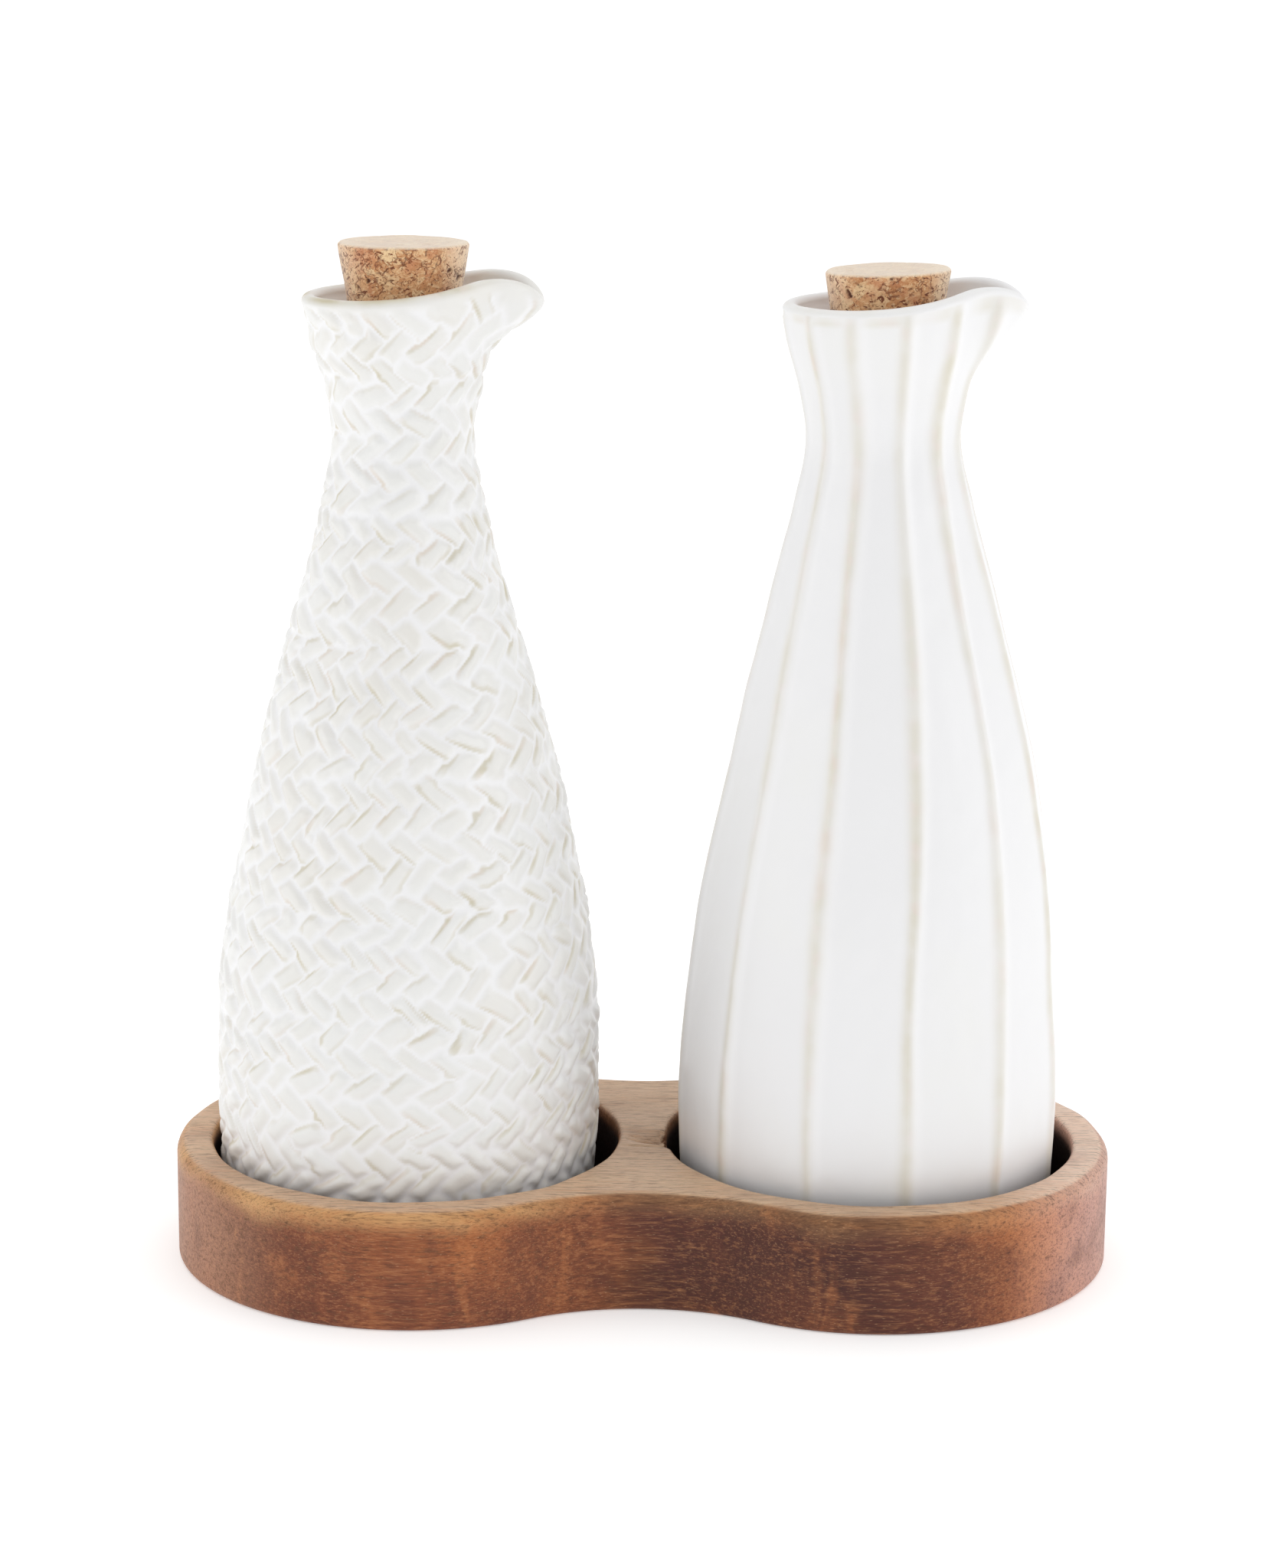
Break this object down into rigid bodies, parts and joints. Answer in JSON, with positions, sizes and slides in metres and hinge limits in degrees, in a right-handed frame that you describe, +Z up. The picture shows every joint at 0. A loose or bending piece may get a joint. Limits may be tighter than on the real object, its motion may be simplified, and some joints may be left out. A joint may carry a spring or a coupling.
{
  "type": "cruet set",
  "caption": "Cruet set: pear-shaped glazed stoneware bottles with pouring lips and tapered cork stoppers, standing in the round wells of a figure-eight wooden tray.",
  "frame": {"origin": "on the table, at the middle of the tray's flat underside", "axes": "+Z up, +X along the tray from the weave bottle to the ribbed bottle, +Y across the tray away from the front"},
  "size_m": [0.198, 0.1016, 0.2144],
  "materials": {
    "tray_wood": "oiled brown hardwood with dark figure, satin",
    "weave_glaze": "white satin glaze over tan stoneware, breaking tan on the edges of the pressed weave",
    "ribbed_glaze": "white satin glaze over tan stoneware, breaking tan along the ribs",
    "cork": "pressed cork granules, matt"
  },
  "bodies": {
    "tray": {"tray": "tray_wood"},
    "weave_bottle": {"weave_bottle": "weave_glaze"},
    "weave_cork": {"weave_cork": "cork"},
    "ribbed_bottle": {"ribbed_bottle": "ribbed_glaze"},
    "ribbed_cork": {"ribbed_cork": "cork"}
  },
  "joints": [
    {"name": "weave_bottle_lift", "type": "slide", "parent": "tray", "child": "weave_bottle", "axis": [0, 0, 1], "range_m": [0, 0.06]},
    {"name": "weave_cork_pull", "type": "slide", "parent": "weave_bottle", "child": "weave_cork", "axis": [0, 0, 1], "range_m": [0, 0.045]},
    {"name": "ribbed_bottle_lift", "type": "slide", "parent": "tray", "child": "ribbed_bottle", "axis": [0, 0, 1], "range_m": [0, 0.06]},
    {"name": "ribbed_cork_pull", "type": "slide", "parent": "ribbed_bottle", "child": "ribbed_cork", "axis": [0, 0, 1], "range_m": [0, 0.045]}
  ]
}
